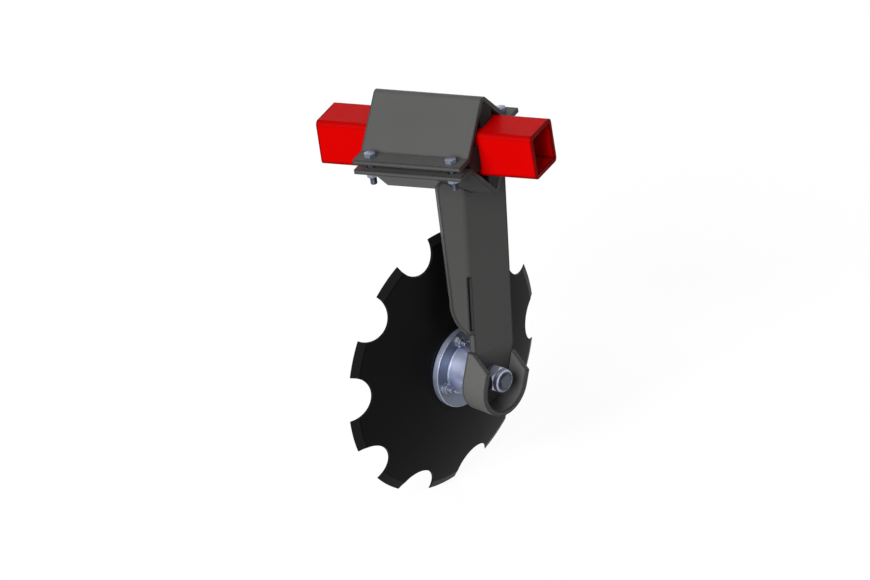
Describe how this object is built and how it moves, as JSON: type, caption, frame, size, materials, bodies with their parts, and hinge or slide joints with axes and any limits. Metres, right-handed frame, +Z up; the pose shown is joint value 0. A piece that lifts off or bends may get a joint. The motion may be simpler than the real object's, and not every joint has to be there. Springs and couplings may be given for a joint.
{
  "type": "toothed disc assembly",
  "caption": "Notched dished blade on a bearing hub, carried by a bent plate arm under a rubber-sprung diamond clamp on a square toolbar.",
  "frame": {"origin": "on the toolbar's axis, in the middle of its length", "axes": "+X along the toolbar, +Y the way the machine drives, +Z up"},
  "size_m": [0.4, 0.438, 0.6943],
  "materials": {
    "red_paint": "glossy red paint",
    "dark_paint": "satin dark grey paint",
    "black_paint": "satin black paint on spring steel",
    "zinc": "bright zinc plating",
    "hub_zinc": "blue zinc plating",
    "rubber": "matt black rubber",
    "bearing_steel": "ground bearing steel",
    "cage_steel": "pressed steel",
    "seal_rubber": "matt nitrile rubber",
    "nylon": "moulded nylon"
  },
  "bodies": {
    "toolbar": {"toolbar": "red_paint"},
    "arm": {"clamp_upper": "dark_paint", "clamp_lower": "dark_paint", "rubber_cord_top": "rubber", "rubber_cord_rear": "rubber", "rubber_cord_bottom": "rubber", "rubber_cord_front": "rubber", "clamp_bolts": "zinc", "clamp_nuts": "zinc", "arm_plate": "dark_paint", "hub_guard": "dark_paint", "spindle": "zinc", "spindle_spacer": "zinc", "spindle_nut": "zinc", "nylon_ring": "nylon", "inner_race_arm_side": "bearing_steel", "inner_race_disc_side": "bearing_steel", "bearing_spacer": "zinc", "bearing_washer": "zinc", "bearing_nut": "zinc"},
    "hub": {"hub_housing": "hub_zinc", "outer_race_arm_side": "bearing_steel", "outer_race_disc_side": "bearing_steel", "hub_seal": "seal_rubber", "dust_cap": "zinc", "disc_blade": "black_paint", "disc_bolts": "zinc", "disc_nuts": "zinc"},
    "ball_sets": {"balls_arm_side": "bearing_steel", "ball_cage_arm_side": "cage_steel", "balls_disc_side": "bearing_steel", "ball_cage_disc_side": "cage_steel"}
  },
  "joints": [
    {"name": "arm_swing", "type": "hinge", "parent": "toolbar", "child": "arm", "pos_m": [0, 0, 0], "axis": [-1, 0, 0], "range_deg": [-10, 25], "stiffness_Nm_per_rad": 1400, "springref_deg": 0.32, "deforming": ["rubber_cord_top", "rubber_cord_rear", "rubber_cord_bottom", "rubber_cord_front"]},
    {"name": "disc_spin", "type": "hinge", "parent": "arm", "child": "hub", "pos_m": [0.0826, -0.09013, -0.38646], "axis": [0.9522, -0.2916, -0.0912], "continuous": true},
    {"name": "ball_roll", "type": "hinge", "parent": "arm", "child": "ball_sets", "pos_m": [0.0826, -0.09013, -0.38646], "axis": [0.9522, -0.2916, -0.0912], "continuous": true}
  ],
  "couplings": [
    {"joint": "ball_roll", "follows": "disc_spin", "ratio": 0.6}
  ]
}
